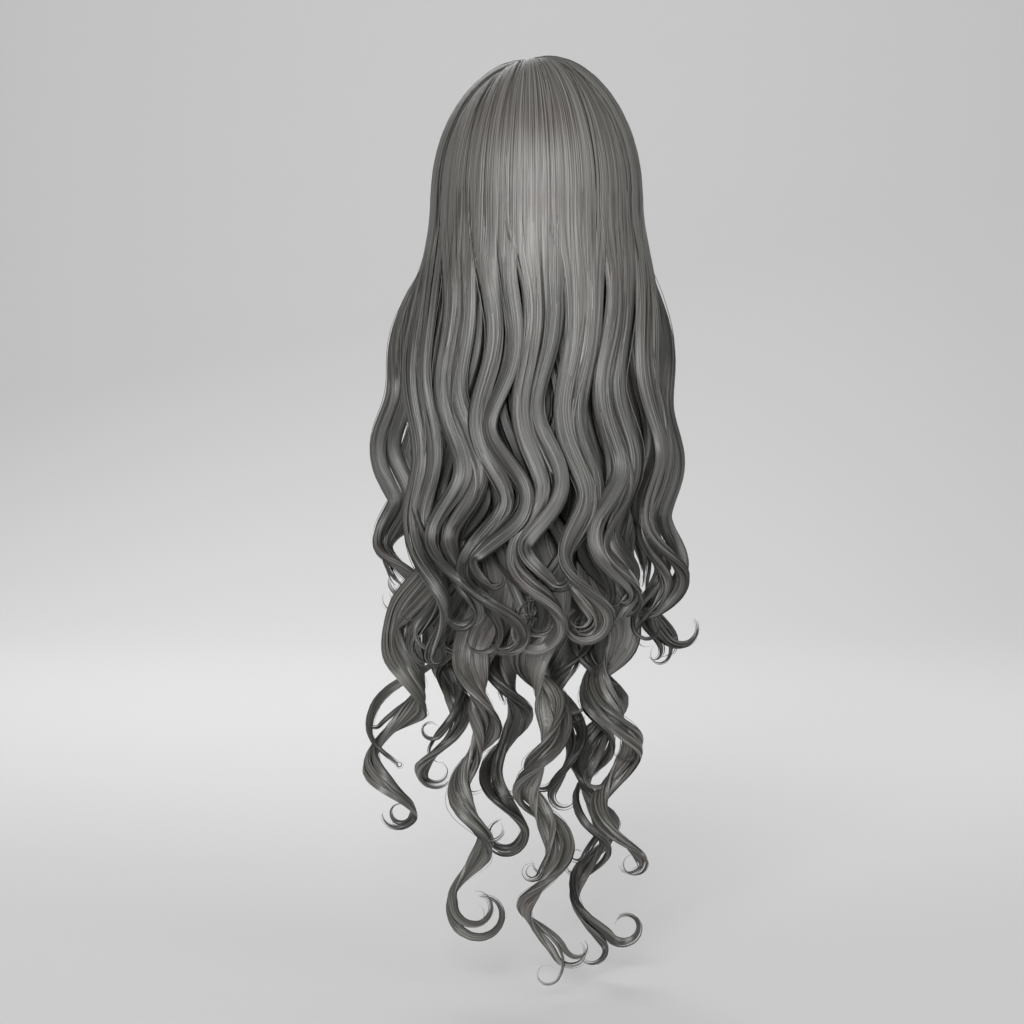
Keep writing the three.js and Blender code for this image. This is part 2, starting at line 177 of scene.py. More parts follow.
# How a whole lock, and each tress of it, differs from its solid. phase and tip count in the layer's own
# shift and stagger, swing, turn and radius are factors, and shade is how much darker or lighter a tress is.
LOCK_OWN = {"phase": 4, "swing": (0.6, 1.08)}
TRESS_OWN = {
    "phase": 0.7, "swing": (0.9, 1.06), "tip": (-0.8, 1), "turn": (0.75, 1.3), "radius": (0.8, 1.1),
    "shade": (-0.18, 0.18),
}
TRESS_LIFT = (-0.1, 0.2)  # by turns, how far out of the lock its tresses lie, against its thickness
TRESS_THICK = 0.9
TRESS_LEAST = 5  # mm, the least half width of a tress at the crown
TIP_STRAY = 0.8  # how far apart the tresses of a lock drift towards their tips, against their ribbons' drift
HANG_PAINTED_SHADE = 0.42  # painted shade: how much darker than on the crown the hair is painted once it hangs free
# Wisps and fill have curls of their own: turn in degrees and radius in millimetres
WISP = {
    "wide": 0.16, "thick": 0.45, "lift": 0.3, "phase": 2, "tip": (-0.5, 1), "longer": 15,
    "turn": (180, 320), "radius": (11, 19),
}
# The fill lies under its tresses, and its shade paints it darker for the shade there
FILL = {
    "wide": 0.4, "reach": 1.7, "lift": -0.6, "phase": (-0.15, 0.15), "shorter": (0.06, 0.26),
    "swing": (0.45, 0.9), "turn": (150, 300), "radius": (11, 20), "shade": (-0.25, 0),
}
CROWN_SPREAD = 0.3  # how much wider the locks lie on the crown than their solids, so that they meet
CROWN_OVERLAP = 0.5  # how much wider the tresses are on the crown, where they lie over one another
CROWN_FLAT = 0.25  # how thin the tresses lie on the crown, against their thickness when they hang free
CROWN_RADIUS = 112  # mm, the round of the head that a wide lock follows across itself
GUIDE_RING = {"length": 15, "bend": math.radians(13)}  # what each step of a tress takes up at most
# From a lock's first point to its root in the cap, in millimetres. On the nape it only goes back.
ROOT_SINK = {"back": 12, "down": 4}


def linear(hex_colour):
    """An sRGB hex colour as linear red, green, blue and alpha."""
    parts = [int(hex_colour[i:i + 2], 16) / 255 for i in (1, 3, 5)]
    return [p / 12.92 if p <= 0.04045 else ((p + 0.055) / 1.055) ** 2.4 for p in parts] + [1.0]


def add(tree, kind, inputs=(), out=0, **settings):
    """Adds a node: settings are its properties, inputs its sockets, each given a value or a link. Gives the
    output that out names or counts, or the node itself where out is None."""
    node = tree.nodes.new(kind)
    for name, value in settings.items():
        setattr(node, name, value)
    for key, value in dict(inputs).items():
        if isinstance(value, bpy.types.NodeSocket):
            tree.links.new(value, node.inputs[key])
        else:
            node.inputs[key].default_value = value
    return node if out is None else node.outputs[out]


def smoothstep(value, low, high):
    share = np.clip((value - low) / (high - low), 0, 1)
    return share * share * (3 - 2 * share)


def unit(vectors):
    return vectors / np.linalg.norm(vectors, axis=-1, keepdims=True)


def outward_at(azimuth):
    """Level directions: azimuth 0 is straight back, and positive turns to the wearer's left."""
    azimuth = np.asarray(azimuth, float)
    return np.stack([np.sin(azimuth), np.cos(azimuth), np.zeros_like(azimuth)], axis=-1)


def girth_point(azimuth, stand_off, share=1.0):
    return np.array([
        share * (CAP["halfWidth"] + stand_off) * math.sin(azimuth),
        share * (CAP["halfDepth"] + stand_off) * math.cos(azimuth),
        CAP["eavesZ"],
    ])


def root_plan(lock, stand_off):
    """Where a lock is sewn on, in plan: beside the parting, round the crown, or part way down the cap."""
    azimuth = math.radians(lock["azimuth"])
    if "rootY" in lock:
        side = math.copysign(1, azimuth)
        return np.array([PARTING["x"] + side * PARTING["halfGap"], lock["rootY"], 0])
    if lock["layer"] == "outer":
        return np.array([PARTING["x"], CROWN_FAN["y"], 0]) + CROWN_FAN["reach"] * outward_at(azimuth)
    rise = (MIDDLE_ROOT_Z - CAP["eavesZ"]) / (CAP["height"] + stand_off)
    return girth_point(azimuth, stand_off, math.sqrt(1 - rise * rise))


def crown_route(lock, layer, section):
    """The route over the crown, from the root to the eaves."""
    seat = section["rootThick"] + SEAT_GAP
    steps = ROUTE_STEPS["crown"]
    share = np.sin(np.arange(steps) / steps * math.pi / 2)[:, None]
    stand_off = seat + (layer["standOff"] - seat) * share
    eaves = girth_point(math.radians(lock["azimuth"]), layer["standOff"])
    root = root_plan(lock, seat)
    axes = np.concatenate([CAP["halfWidth"] + stand_off, CAP["halfDepth"] + stand_off], axis=1)
    plan = (root + (eaves - root) * share)[:, :2]
    height = CAP["height"] + stand_off
    rise = height * np.sqrt(np.maximum(0, 1 - np.sum((plan / axes) ** 2, axis=1, keepdims=True)))
    share = share[:, 0]
    return {
        "point": np.concatenate([plan, CAP["eavesZ"] + rise], axis=1),
        "outward": unit(np.concatenate([plan / axes ** 2, rise / height ** 2], axis=1)),
        "twist": np.zeros(steps),
        "wide": lock["rootWide"] + (section["eavesWide"] - lock["rootWide"]) * share,
        "thick": section["rootThick"] + (section["midThick"] - section["rootThick"]) * share,
        "loose": np.zeros(steps),
    }


def turns_at(z, lock, layer):
    """The turns that a wave has made at height z, with a pitch that shortens steadily towards the tip."""
    fall = layer["waveZ"] - lock["tipZ"]
    quicken = 1 / layer["tipPitch"] - 1 / layer["topPitch"]

    def count(height):
        share = (layer["waveZ"] - height) / fall
        return fall * (share / layer["topPitch"] + quicken * share * share / 2)

    return lock["phase"] + count(z) - count(layer["phaseZ"])


def hang_route(lock, layer, section):
    """The route below the eaves, or below a root on the nape: straight, then waved, then coiled."""
    azimuth = math.radians(lock["azimuth"])
    from_nape = "rootZ" in lock
    top_z = lock["rootZ"] if from_nape else CAP["eavesZ"]
    top_thick = section["rootThick"] if from_nape else section["midThick"]
    top = girth_point(azimuth, layer["standOff"])
    z = np.linspace(top_z, lock["tipZ"], ROUTE_STEPS["hang"] + 1)
    settle = smoothstep(top_z - z, 0, top_z - MID_Z)
    fall = smoothstep(MID_Z - z, 0, MID_Z - lock["tipZ"])
    mid_depth = layer["midDepth"] - layer["round"] * lock["midX"] ** 2
    tip_depth = layer["tipDepth"] - layer["round"] * lock["tipX"] ** 2
    axis_x = top[0] + (lock["midX"] - top[0]) * settle + (lock["tipX"] - lock["midX"]) * fall
    axis_y = top[1] + (mid_depth - top[1]) * settle + (tip_depth - mid_depth) * fall
    side = math.radians(layer["face"]) * math.copysign(1, azimuth)
    face = azimuth + (side + np.arctan(2 * layer["round"] * axis_x) - azimuth) * settle
    outward = outward_at(face)
    sideways = outward_at(face + math.pi / 2)
    along = np.clip((layer["waveZ"] - z) / (layer["waveZ"] - lock["tipZ"]), 0, 1)
    angle = TURN * turns_at(z, lock, layer)
    coil = layer["coilShare"] * smoothstep(layer["coilZ"] - z, 0, layer["coilZ"] - layer["coilFullZ"])
    twist = -lock["hand"] * np.cumsum(coil * np.diff(angle, prepend=angle[0]))
    reach = lock["swing"] * along
    around = lock["hand"] * np.sin(angle)
    point = np.stack([axis_x, axis_y, z], axis=1)
    point += sideways * (reach * np.cos(angle))[:, None] + outward * (reach * coil * around)[:, None]
    rest = math.pi * round(twist[-1] / math.pi) - twist[-1]
    return {
        "point": point,
        "outward": outward,
        "twist": twist + rest * along ** 3,
        "wide": section["eavesWide"] + (section["midWide"] - section["eavesWide"]) * settle,
        "thick": top_thick + (section["midThick"] - top_thick) * settle,
        "loose": smoothstep(CAP["eavesZ"] - z, 0, LOOSE_FALL),
        "settled": int(np.argmax(settle == 1)),
    }


def turn_about(vector, axis, angle):
    level = axis * (axis @ vector)
    return level + (vector - level) * math.cos(angle) + np.cross(axis, vector) * math.sin(angle)


def add_curl(route, lock, outward):
    """The curl at the tip: it bends on the way that the lock bends there, flat on the back, and tightens."""
    tangent, normal, point = (route[name][-1] for name in ("tangent", "normal", "point"))
    bend = np.cross(outward, tangent) @ (tangent - route["tangent"][-CURL["lookBack"]])
    steps = ROUTE_STEPS["curl"]
    step = math.radians(lock["curlTurn"]) / steps
    for i in range(1, steps + 1):
        tangent = turn_about(tangent, outward, math.copysign(step, bend))
        tangent = unit(tangent - CURL["flatten"] * outward * (outward @ tangent))
        normal = turn_about(normal, outward, math.copysign(step, bend))
        normal = unit(normal - tangent * (normal @ tangent))
        radius = lock["curlRadius"] * (1 + (CURL["tighten"] - 1) * i / steps)
        point = point + (tangent + CURL["drift"] * outward) * radius * step
        for name, value in (("tangent", tangent), ("normal", normal), ("point", point)):
            route[name] = np.vstack([route[name], value])
    for name in ("wide", "thick", "loose"):
        route[name] = np.append(route[name], np.full(steps, route[name][-1]))


def lock_route(lock):
    """Points, tangents, normals and half sizes along one lock, in millimetres, on its solid's line."""
    layer, section = LAYERS[lock["layer"]], SECTIONS[lock["layer"]]
    hang = hang_route(lock, layer, section)
    parts = [hang] if "rootZ" in lock else [crown_route(lock, layer, section), hang]
    names = ("point", "outward", "twist", "wide", "thick", "loose")
    route = {name: np.concatenate([part[name] for part in parts]) for name in names}
    point = route["point"]
    tangent = unit(np.vstack([point[1:2], point[2:], point[-1:]]) - np.vstack([point[:1], point[:-1]]))
    normal = unit(route["outward"] - tangent * np.sum(route["outward"] * tangent, axis=1, keepdims=True))
    twist = route["twist"][:, None]
    route["tangent"] = tangent
    route["normal"] = normal * np.cos(twist) + np.cross(tangent, normal) * np.sin(twist)
    free = len(point) - len(hang["point"]) + hang["settled"]
    add_curl(route, lock, outward_at(math.radians(layer["face"]) * math.copysign(1, lock["azimuth"])))
    steps = np.linalg.norm(np.diff(route["point"], axis=0), axis=1)
    route["along"] = np.concatenate([[0], np.cumsum(steps)])
    share = (route["along"][free:] - route["along"][free]) / (route["along"][-1] - route["along"][free])
    for size in ("wide", "thick"):
        start, end = section["mid" + size.title()], section["tip" + size.title()]
        route[size][free:] = start + (end - start) * share ** TAPER
    if "rootZ" in lock:
        parted = smoothstep(-route["point"][:, 2], SHEET["whole"], SHEET["parted"])
        route["wide"] *= 1 + SHEET["wider"] * (1 - parted)
    across = np.cross(route["tangent"], route["normal"])
    tight = np.abs(np.sum(np.gradient(route["tangent"], route["along"], axis=0) * across, axis=1))
    tight = np.convolve(tight, np.full(PINCH["steps"], 1 / PINCH["steps"]), mode="same")
    squeeze = 1 + (route["wide"] * tight / PINCH["share"]) ** PINCH["power"]
    route["wide"] /= squeeze ** (1 / PINCH["power"])
    return route


def thin_out(route):
    """Keeps the steps of a route that a smooth tress needs, closer together where it bends."""
    bend = np.arccos(np.clip(np.sum(route["tangent"][1:] * route["tangent"][:-1], axis=1), -1, 1))
    due = np.diff(route["along"]) / GUIDE_RING["length"] + bend / GUIDE_RING["bend"]
    count = np.floor(np.concatenate([[0], np.cumsum(due)]))
    keep = np.flatnonzero(np.diff(count, prepend=-1))
    keep = np.union1d(keep, [len(count) - 1])
    return {name: values[keep] for name, values in route.items() if name not in ("outward", "twist")}


HEAD_SLOPE = tuple(CAP[size] ** -2 for size in ("halfWidth", "halfDepth", "height"))


def head_outward(points):
    """Which way the head faces at some points: out of its dome above the eaves, and level below them."""
    rise = np.maximum(points[:, 2] - CAP["eavesZ"], 0)
    slope = np.stack([points[:, 0], points[:, 1], rise], axis=1)
    return unit(slope * HEAD_SLOPE)


def tress_guide(lock, place, wide_share, thick_share, lift, differ):
    """One tress of a lock: its line with the root sunk into the cap, its axes, half sizes and shade."""
    route = thin_out(lock_route(lock))
    # The layer's light, with painted shade making the middle and far layers, which lie under the others,
    # darker
    light = TRESSES[lock["layer"]]["light"]
    across = np.cross(route["tangent"], route["normal"])
    lock_wide = route["wide"] * (1 + CROWN_SPREAD * (1 - route["loose"]))
    aside = place * lock_wide
    rise = lift * route["thick"] - aside ** 2 / (2 * CROWN_RADIUS) * (1 - route["loose"])
    point = route["point"] + across * aside[:, None] + route["normal"] * rise[:, None]
    down = 0 if "rootZ" in lock else ROOT_SINK["down"]
    root = point[0] - ROOT_SINK["back"] * route["tangent"][0] - down * route["normal"][0]
    # Painted shade: the further a tress hangs below the eaves, down to MID_Z, the darker it is painted
    low = smoothstep(-route["point"][:, 2], -CAP["eavesZ"], -MID_Z)
    # On the crown a tress lies flat on the head, and once it hangs free it turns as its lock does
    loose = route["loose"][:, None]
    normal = head_outward(point) * (1 - loose) + route["normal"] * loose
    normal = unit(normal - route["tangent"] * np.sum(normal * route["tangent"], axis=1, keepdims=True))
    across = np.cross(route["tangent"], normal)
    guide = {
        "point": np.vstack([root, point]),
        "across": np.vstack([across[:1], across]),
        "normal": np.vstack([normal[:1], normal]),
        "along": np.append(0, route["along"] + ROOT_SINK["back"]),
        "shade": light + np.append(0, differ * route["loose"] - HANG_PAINTED_SHADE * low),
    }
    overlap = 1 + CROWN_OVERLAP * (1 - route["loose"])
    wide = np.maximum(lock_wide * wide_share * overlap, TRESS_LEAST * (1 - route["loose"]))
    thick = route["thick"] * thick_share * (CROWN_FLAT + (1 - CROWN_FLAT) * route["loose"])
    for name, values in (("wide", wide), ("thick", thick), ("loose", route["loose"])):
        guide[name] = np.append(values[:1], values)
    guide["crown"] = (1 - guide["loose"]) * (lock["layer"] == "outer")
    return guide


def tress_guides(lock, rng):
    """The tresses that a lock parts into: each has its own wave, length and curl once it hangs free."""
    tresses = TRESSES[lock["layer"]]
    spread = OWN_SPREAD.get(lock["name"], tresses["spread"])
    lock = dict(lock)
    lock["phase"] += rng.normal(0, LOCK_OWN["phase"] * tresses["shift"])
    lock["swing"] *= rng.uniform(*LOCK_OWN["swing"])
    guides = []
    for number, place in enumerate(np.linspace(-spread, spread, tresses["count"])):
        own = dict(lock)
        own["phase"] += rng.normal(0, TRESS_OWN["phase"] * tresses["shift"])
        own["swing"] *= rng.uniform(*TRESS_OWN["swing"])
        own["tipZ"] += rng.uniform(*TRESS_OWN["tip"]) * tresses["stagger"]
        own["tipX"] += rng.normal(0, TIP_STRAY * tresses["wander"])
        own["curlTurn"] *= rng.uniform(*TRESS_OWN["turn"])
        own["curlRadius"] *= rng.uniform(*TRESS_OWN["radius"])
        differ = rng.uniform(*TRESS_OWN["shade"])
        guides.append(tress_guide(own, place, tresses["wide"], TRESS_THICK, TRESS_LIFT[number % 2], differ))
    for _ in range(tresses["wisps"]):
        own = dict(lock)
        own["phase"] += rng.normal(0, WISP["phase"] * tresses["shift"])
        own["tipZ"] -= rng.uniform(*WISP["tip"]) * WISP["longer"]
        own["curlTurn"] = rng.uniform(*WISP["turn"])
        own["curlRadius"] = rng.uniform(*WISP["radius"])
        place = rng.uniform(-spread, spread)
        guides.append(tress_guide(own, place, WISP["wide"], WISP["thick"], WISP["lift"], 0))
    for _ in range(tresses["fills"]):
        own = dict(lock)
        own["phase"] += rng.uniform(*FILL["phase"])
        own["tipZ"] *= 1 - rng.uniform(*FILL["shorter"])
        own["swing"] *= rng.uniform(*FILL["swing"])
        own["curlTurn"] = rng.uniform(*FILL["turn"])
        own["curlRadius"] = rng.uniform(*FILL["radius"])
        place = rng.uniform(-FILL["reach"], FILL["reach"])
        differ = rng.uniform(*FILL["shade"])
        guides.append(tress_guide(own, place, FILL["wide"], TRESS_THICK, FILL["lift"], differ))
    return guides


def guide_object(name, guides):
    """One mesh of edges, a line for each tress, whose points carry the tress's place, sizes and shade."""
    ends = np.cumsum([len(guide["point"]) for guide in guides])
    joined = {key: np.concatenate([guide[key] for guide in guides]) for key in guides[0]}
    points = joined["point"] * MM
    edges = [(i, i + 1) for i in range(len(points) - 1) if i + 1 not in ends]
    mesh = bpy.data.meshes.new(name)
    mesh.from_pydata(points.tolist(), edges, [])
    vectors = {
        "spine": points,
        "wide_axis": joined["across"] * joined["wide"][:, None] * MM,
        "thick_axis": joined["normal"] * joined["thick"][:, None] * MM,
    }
    for key, values in vectors.items():
        mesh.attributes.new(key, "FLOAT_VECTOR", "POINT").data.foreach_set("vector", values.ravel())
    numbers = {
        "along": joined["along"] * MM,
        "loose": joined["loose"],
        "shade": joined["shade"],
        "crown": joined["crown"],
        "flat": joined["thick"] / joined["wide"],
        "sag": (joined["loose"] - 1) / (2 * CROWN_RADIUS * joined["wide"] ** 2 * joined["thick"] * MM ** 4),
    }
    for key, values in numbers.items():
        mesh.attributes.new(key, "FLOAT", "POINT").data.foreach_set("value", values)
    guide = bpy.data.objects.new(name, mesh)
    bpy.context.scene.collection.objects.link(guide)
    return guide


# What each guide line is copied into. Sizes and places are shares of the tress's own half width and
# thickness: a core painted dark, for the shade inside the tress, fills it, flat ribbons of fibres lie all
# round the core, and single strands stray from them. onCrown is the share of its width that each has on the
# crown, darkest and lightest span the tones of its copies from the innermost to the outermost, painted shade
# that deepens inwards, and follow how far it takes the light as its whole tress does, because its own fibres
# lie level with the next.
FIBRE_KINDS = table(
    "kind sides inner outer narrow broad onCrown thick shortest stray darkest lightest follow",
    ("Cores", 6, 0.0, 0.0, 0.9, 0.9, 0.2, 0.84, 0.95, 0.0, -0.3, -0.2, 0.0),
    ("Ribbons", 3, 0.66, 0.84, 0.24, 0.56, 0.7, 0.4, 0.94, 1.0, -0.2, 0.2, 0.85),
    ("Strands", 3, 0.95, 1.25, 0.035, 0.06, 1.0, 0.08, 0.82, 2.2, -0.1, 0.3, 0.6),
)
DRIFT = {"perMetre": 8.0, "apart": 300.0}  # how often a copy drifts to and fro, and what keeps drifts apart
CROWN_EVEN = 0.2  # how much of their tone, painted shade included, and of their roundness the copies keep on the crown
TIP = {"start": 0.93, "end": 0.12}  # where along itself a copy starts to thin, and what is left at its end
OUTER_RIM = 0.1  # how far out on a profile of radius 1 its outer side starts
EDGE_ON = 0.7  # how far past edge on a ribbon at the side of its tress still counts as facing outwards
SEEDS_APART = 1000.0  # between the seeds of one kind of copy and the next

MATH = "ShaderNodeMath"
VECTOR = "ShaderNodeVectorMath"
RANGE = "ShaderNodeMapRange"
STORE = "GeometryNodeStoreNamedAttribute"
VECTORS = {"data_type": "FLOAT_VECTOR", "domain": "POINT"}
NUMBERS = {"data_type": "FLOAT", "domain": "POINT"}


def lock_tree():
    """Geometry Nodes for a lock: each guide line is copied into a core, ribbons and strands of hair."""
    tree = bpy.data.node_groups.new(TREE_NAME, "GeometryNodeTree")
    node = partial(add, tree)
    for name, kind in (
        ("Guides", "Geometry"), ("Cores", "Int"), ("Ribbons", "Int"), ("Strands", "Int"),
        ("Wander", "Float"), ("Seed", "Int"), ("Fibre", "Material"),
    ):
        tree.interface.new_socket(name, in_out="INPUT", socket_type="NodeSocket" + kind)
    tree.interface.new_socket("Lock", in_out="OUTPUT", socket_type="NodeSocketGeometry")
    given = tree.nodes.new("NodeGroupInput").outputs
    read = {
        name: node("GeometryNodeInputNamedAttribute", {"Name": name}, "Attribute", data_type=kind)
        for kind, names in (
            ("FLOAT_VECTOR", "spine wide_axis thick_axis rim draw centre side face"),
            ("FLOAT", "along loose shade flat sag taper"),
        )
        for name in names.split()
    }
    lines = node("GeometryNodeMeshToCurve", {"Mesh": given["Guides"]}, "Curve")
    position = node("GeometryNodeInputPosition")
    factor = node("GeometryNodeSplineParameter", out="Factor")
    draw = node("ShaderNodeSeparateXYZ", {0: read["draw"]}, None).outputs
    rim = node("ShaderNodeSeparateXYZ", {0: read["rim"]}, None).outputs
    own = node(MATH, {0: draw["Y"], 1: DRIFT["apart"]}, operation="MULTIPLY")
    run = node("ShaderNodeCombineXYZ", {"Z": read["along"]})
    noise = {"Vector": run, "W": own, "Scale": DRIFT["perMetre"], "Detail": 1.0}
    drift = node("ShaderNodeTexNoise", noise, "Color", noise_dimensions="4D")
    drift = node(VECTOR, {0: drift, 1: (0.5, 0.5, 0.5)}, operation="SUBTRACT")
    free = node(MATH, {0: read["loose"], 1: given["Wander"]}, operation="MULTIPLY")
    own_share = node(RANGE, {"Value": read["loose"], "To Min": CROWN_EVEN, "To Max": 1.0})
    taper = node(RANGE, {"Value": factor, "From Min": TIP["start"], "To Min": 1.0, "To Max": TIP["end"]})
    # Which way the skin is lit from: on the crown, what faces outwards takes the light as the head does
    over = node(VECTOR, {0: position, 1: (0, 0, CAP["eavesZ"] * MM)}, operation="SUBTRACT")
    over = node(VECTOR, {0: over, 1: (-1, -1, 0)}, operation="MAXIMUM")
    level = node(VECTOR, {0: over, 1: HEAD_SLOPE}, operation="MULTIPLY")
    level = node(VECTOR, {0: level}, operation="NORMALIZE")
    out_of_tress = node(VECTOR, {0: read["face"]}, operation="NORMALIZE")
    upper = node(VECTOR, {0: out_of_tress, 1: level}, "Value", operation="DOT_PRODUCT")
    upper = node(MATH, {0: upper, 1: EDGE_ON}, operation="ADD")
    upper = node(MATH, {0: upper}, operation="SIGN")
    level = node(VECTOR, {0: level, 3: upper}, operation="SCALE")
    # Once it hangs free, a copy takes the light as the flat side of it does that faces out of the tress
    own_normal = node("GeometryNodeInputNormal", out="Normal")
    outer_side = node(MATH, {0: rim["Y"], 1: OUTER_RIM}, operation="GREATER_THAN")
    flat_side = node(VECTOR, {0: own_normal, 3: outer_side}, operation="SCALE")
    flat_side = node("GeometryNodeFieldOnDomain", {0: flat_side}, data_type="FLOAT_VECTOR", domain="FACE")
    flat_side = node(VECTOR, {0: flat_side}, operation="NORMALIZE")
    skin_faces = node("ShaderNodeMix", {0: own_share, 4: level, 5: flat_side}, 1, data_type="VECTOR")
    skin_faces = node(VECTOR, {0: skin_faces}, operation="NORMALIZE")
    joined = node("GeometryNodeJoinGeometry", out=None)
    for number, kind in enumerate(FIBRE_KINDS):
        amount = given[kind["kind"]]
        copies = {"Geometry": lines, "Amount": amount}
        copies = node("GeometryNodeDuplicateElements", copies, None, domain="SPLINE").outputs
        seed = node(MATH, {0: given["Seed"], 1: number * SEEDS_APART}, operation="ADD")
        chance = node("FunctionNodeRandomValue", {1: (1, 1, 1), "Seed": seed}, data_type="FLOAT_VECTOR")
        drawn = {"Geometry": copies["Geometry"], "Name": "draw", "Value": chance}
        curves = node(STORE, drawn, data_type="FLOAT_VECTOR", domain="CURVE")
        # The copies are set out evenly round the tress's oval, and each lies along the oval there
        turn = node(MATH, {0: copies["Duplicate Index"], 1: draw["X"]}, operation="ADD")
        angle = node(RANGE, {"Value": turn, "From Max": amount, "To Min": -math.pi, "To Max": math.pi})
        sine = node(MATH, {0: angle}, operation="SINE")
        cosine = node(MATH, {0: angle}, operation="COSINE")
        down = node(MATH, {0: sine, 1: -1.0}, operation="MULTIPLY")
        lean = node(MATH, {0: sine, 1: read["flat"]}, operation="MULTIPLY")
        reach = node(RANGE, {"Value": draw["Y"], "To Min": kind["inner"], "To Max": kind["outer"]})
        aside = node(MATH, {0: sine, 1: reach}, operation="MULTIPLY")
        above = node(MATH, {0: cosine, 1: reach}, operation="MULTIPLY")
        stray = node(MATH, {0: free, 1: kind["stray"]}, operation="MULTIPLY")
        start = node(VECTOR, {0: drift, 1: stray, 2: read["spine"]}, operation="MULTIPLY_ADD")
        for name, across, through, base in (
            ("centre", aside, above, start),
            ("side", cosine, down, (0, 0, 0)),
            ("face", lean, cosine, (0, 0, 0)),
        ):
            vector = node(VECTOR, {0: read["wide_axis"], 1: across, 2: base}, operation="MULTIPLY_ADD")
            vector = node(VECTOR, {0: read["thick_axis"], 1: through, 2: vector}, operation="MULTIPLY_ADD")
            curves = node(STORE, {"Geometry": curves, "Name": name, "Value": vector}, **VECTORS)
        # Painted shade: one draw sets both a copy's reach and its tone, so the deeper it lies in its tress
        # the darker it is, and the cores are darkest
        tone = node(RANGE, {"Value": draw["Y"], "To Min": kind["darkest"], "To Max": kind["lightest"]})
        tone = node(MATH, {0: tone, 1: own_share, 2: read["shade"]}, operation="MULTIPLY_ADD")
        curves = node(STORE, {"Geometry": curves, "Name": "shade", "Value": tone}, **NUMBERS)
        # Each copy is cut to its own length, and thins towards that end
        end = node(RANGE, {"Value": draw["Z"], "To Min": kind["shortest"], "To Max": 1.0})
        curves = node("GeometryNodeTrimCurve", {"Curve": curves, 3: end}, mode="FACTOR")
        curves = node(STORE, {"Geometry": curves, "Name": "taper", "Value": taper}, **NUMBERS)
        # The profile is turned so that one flat side of it faces out of the tress
        profile = {"Resolution": kind["sides"], "Radius": 1.0}
        profile = node("GeometryNodeCurvePrimitiveCircle", profile, "Curve")
        profile = node("GeometryNodeTransform", {"Geometry": profile, "Rotation": (0, 0, -math.pi / 2)})
        profile = node(STORE, {"Geometry": profile, "Name": "rim", "Value": position}, **VECTORS)
        wall = {"Curve": curves, "Profile Curve": profile, "Fill Caps": True}
        wall = node("GeometryNodeCurveToMesh", wall)
        wide = node(RANGE, {"Value": draw["Z"], "To Min": kind["narrow"], "To Max": kind["broad"]})
        slim = node(RANGE, {"Value": read["loose"], "To Min": kind["onCrown"], "To Max": 1.0})
        wide = node(MATH, {0: wide, 1: slim}, operation="MULTIPLY")
        breadth = node(MATH, {0: rim["X"], 1: wide}, operation="MULTIPLY")
        depth = node(MATH, {0: rim["Y"], 1: kind["thick"]}, operation="MULTIPLY")
        skin = read["centre"]
        for name, size in (("side", breadth), ("face", depth)):
            size = node(MATH, {0: size, 1: read["taper"]}, operation="MULTIPLY")
            skin = node(VECTOR, {0: read[name], 1: size, 2: skin}, operation="MULTIPLY_ADD")
        # On the crown the copies follow the round of the head across their tress, each of them still flat
        places = []
        for vector in (read["centre"], skin):
            away = node(VECTOR, {0: vector, 1: read["spine"]}, operation="SUBTRACT")
            places.append(node(VECTOR, {0: away, 1: read["wide_axis"]}, "Value", operation="DOT_PRODUCT"))
        drop = node(MATH, {0: places[1], 1: 2.0}, operation="MULTIPLY")
        drop = node(MATH, {0: drop, 1: places[0]}, operation="SUBTRACT")
        for value in (places[0], read["sag"]):
            drop = node(MATH, {0: drop, 1: value}, operation="MULTIPLY")
        skin = node(VECTOR, {0: read["thick_axis"], 1: drop, 2: skin}, operation="MULTIPLY_ADD")
        wall = node("GeometryNodeSetPosition", {"Geometry": wall, "Position": skin})
        # The tress's axes mirror the profile, so the faces are turned to point outwards again
        wall = node("GeometryNodeFlipFaces", {0: wall})
        # The fibre map, in metres across the fibres and along them
        span = node(VECTOR, {0: read["side"]}, "Value", operation="LENGTH")
        map_u = node(MATH, {0: breadth, 1: span, 2: draw["Y"]}, operation="MULTIPLY_ADD")
        fibre = node("ShaderNodeCombineXYZ", {"X": map_u, "Y": read["along"]})
        wall = {"Geometry": wall, "Name": "fibre", "Value": fibre}
        wall = node(STORE, wall, data_type="FLOAT2", domain="CORNER")
        wall = node("GeometryNodeSetShadeSmooth", {0: wall})
        follow = node(MATH, {0: outer_side, 1: kind["follow"]}, operation="MULTIPLY")
        facing = node("ShaderNodeMix", {0: follow, 4: own_normal, 5: skin_faces}, 1, data_type="VECTOR")
        wall = node("GeometryNodeSetMeshNormal", {0: wall}, None, mode="FREE", domain="POINT")
        tree.links.new(facing, wall.inputs["Custom Normal"])
        tree.links.new(wall.outputs[0], joined.inputs[0])
    whole = node("GeometryNodeRealizeInstances", {0: joined.outputs[0]})
    done = node("GeometryNodeSetMaterial", {0: whole, "Material": given["Fibre"]})
    node("NodeGroupOutput", {0: done}, None)
    return tree


KEPT_ATTRIBUTES = ("fibre", "shade", "crown", "custom_normal", "position", ".edge_verts", ".corner_vert",
                   ".corner_edge", "sharp_face", "material_index")


def plain_mesh(guide, tree, values):
    """Runs a tree on a guide, keeps the result as a plain mesh, and takes the modifier away."""
    modifier = guide.modifiers.new(tree.name, "NODES")
    modifier.node_group = tree
    for item in tree.interface.items_tree:
        if item.in_out == "INPUT" and item.name in values:
            modifier[item.identifier] = values[item.name]
    graph = bpy.context.evaluated_depsgraph_get()
    made = bpy.data.meshes.new_from_object(guide.evaluated_get(graph), depsgraph=graph)
    guide.modifiers.remove(modifier)
    bare = guide.data
    guide.data = made
    bpy.data.meshes.remove(bare)
    for name in [attribute.name for attribute in made.attributes]:
        if name not in KEPT_ATTRIBUTES:
            made.attributes.remove(made.attributes[name])
    return guide


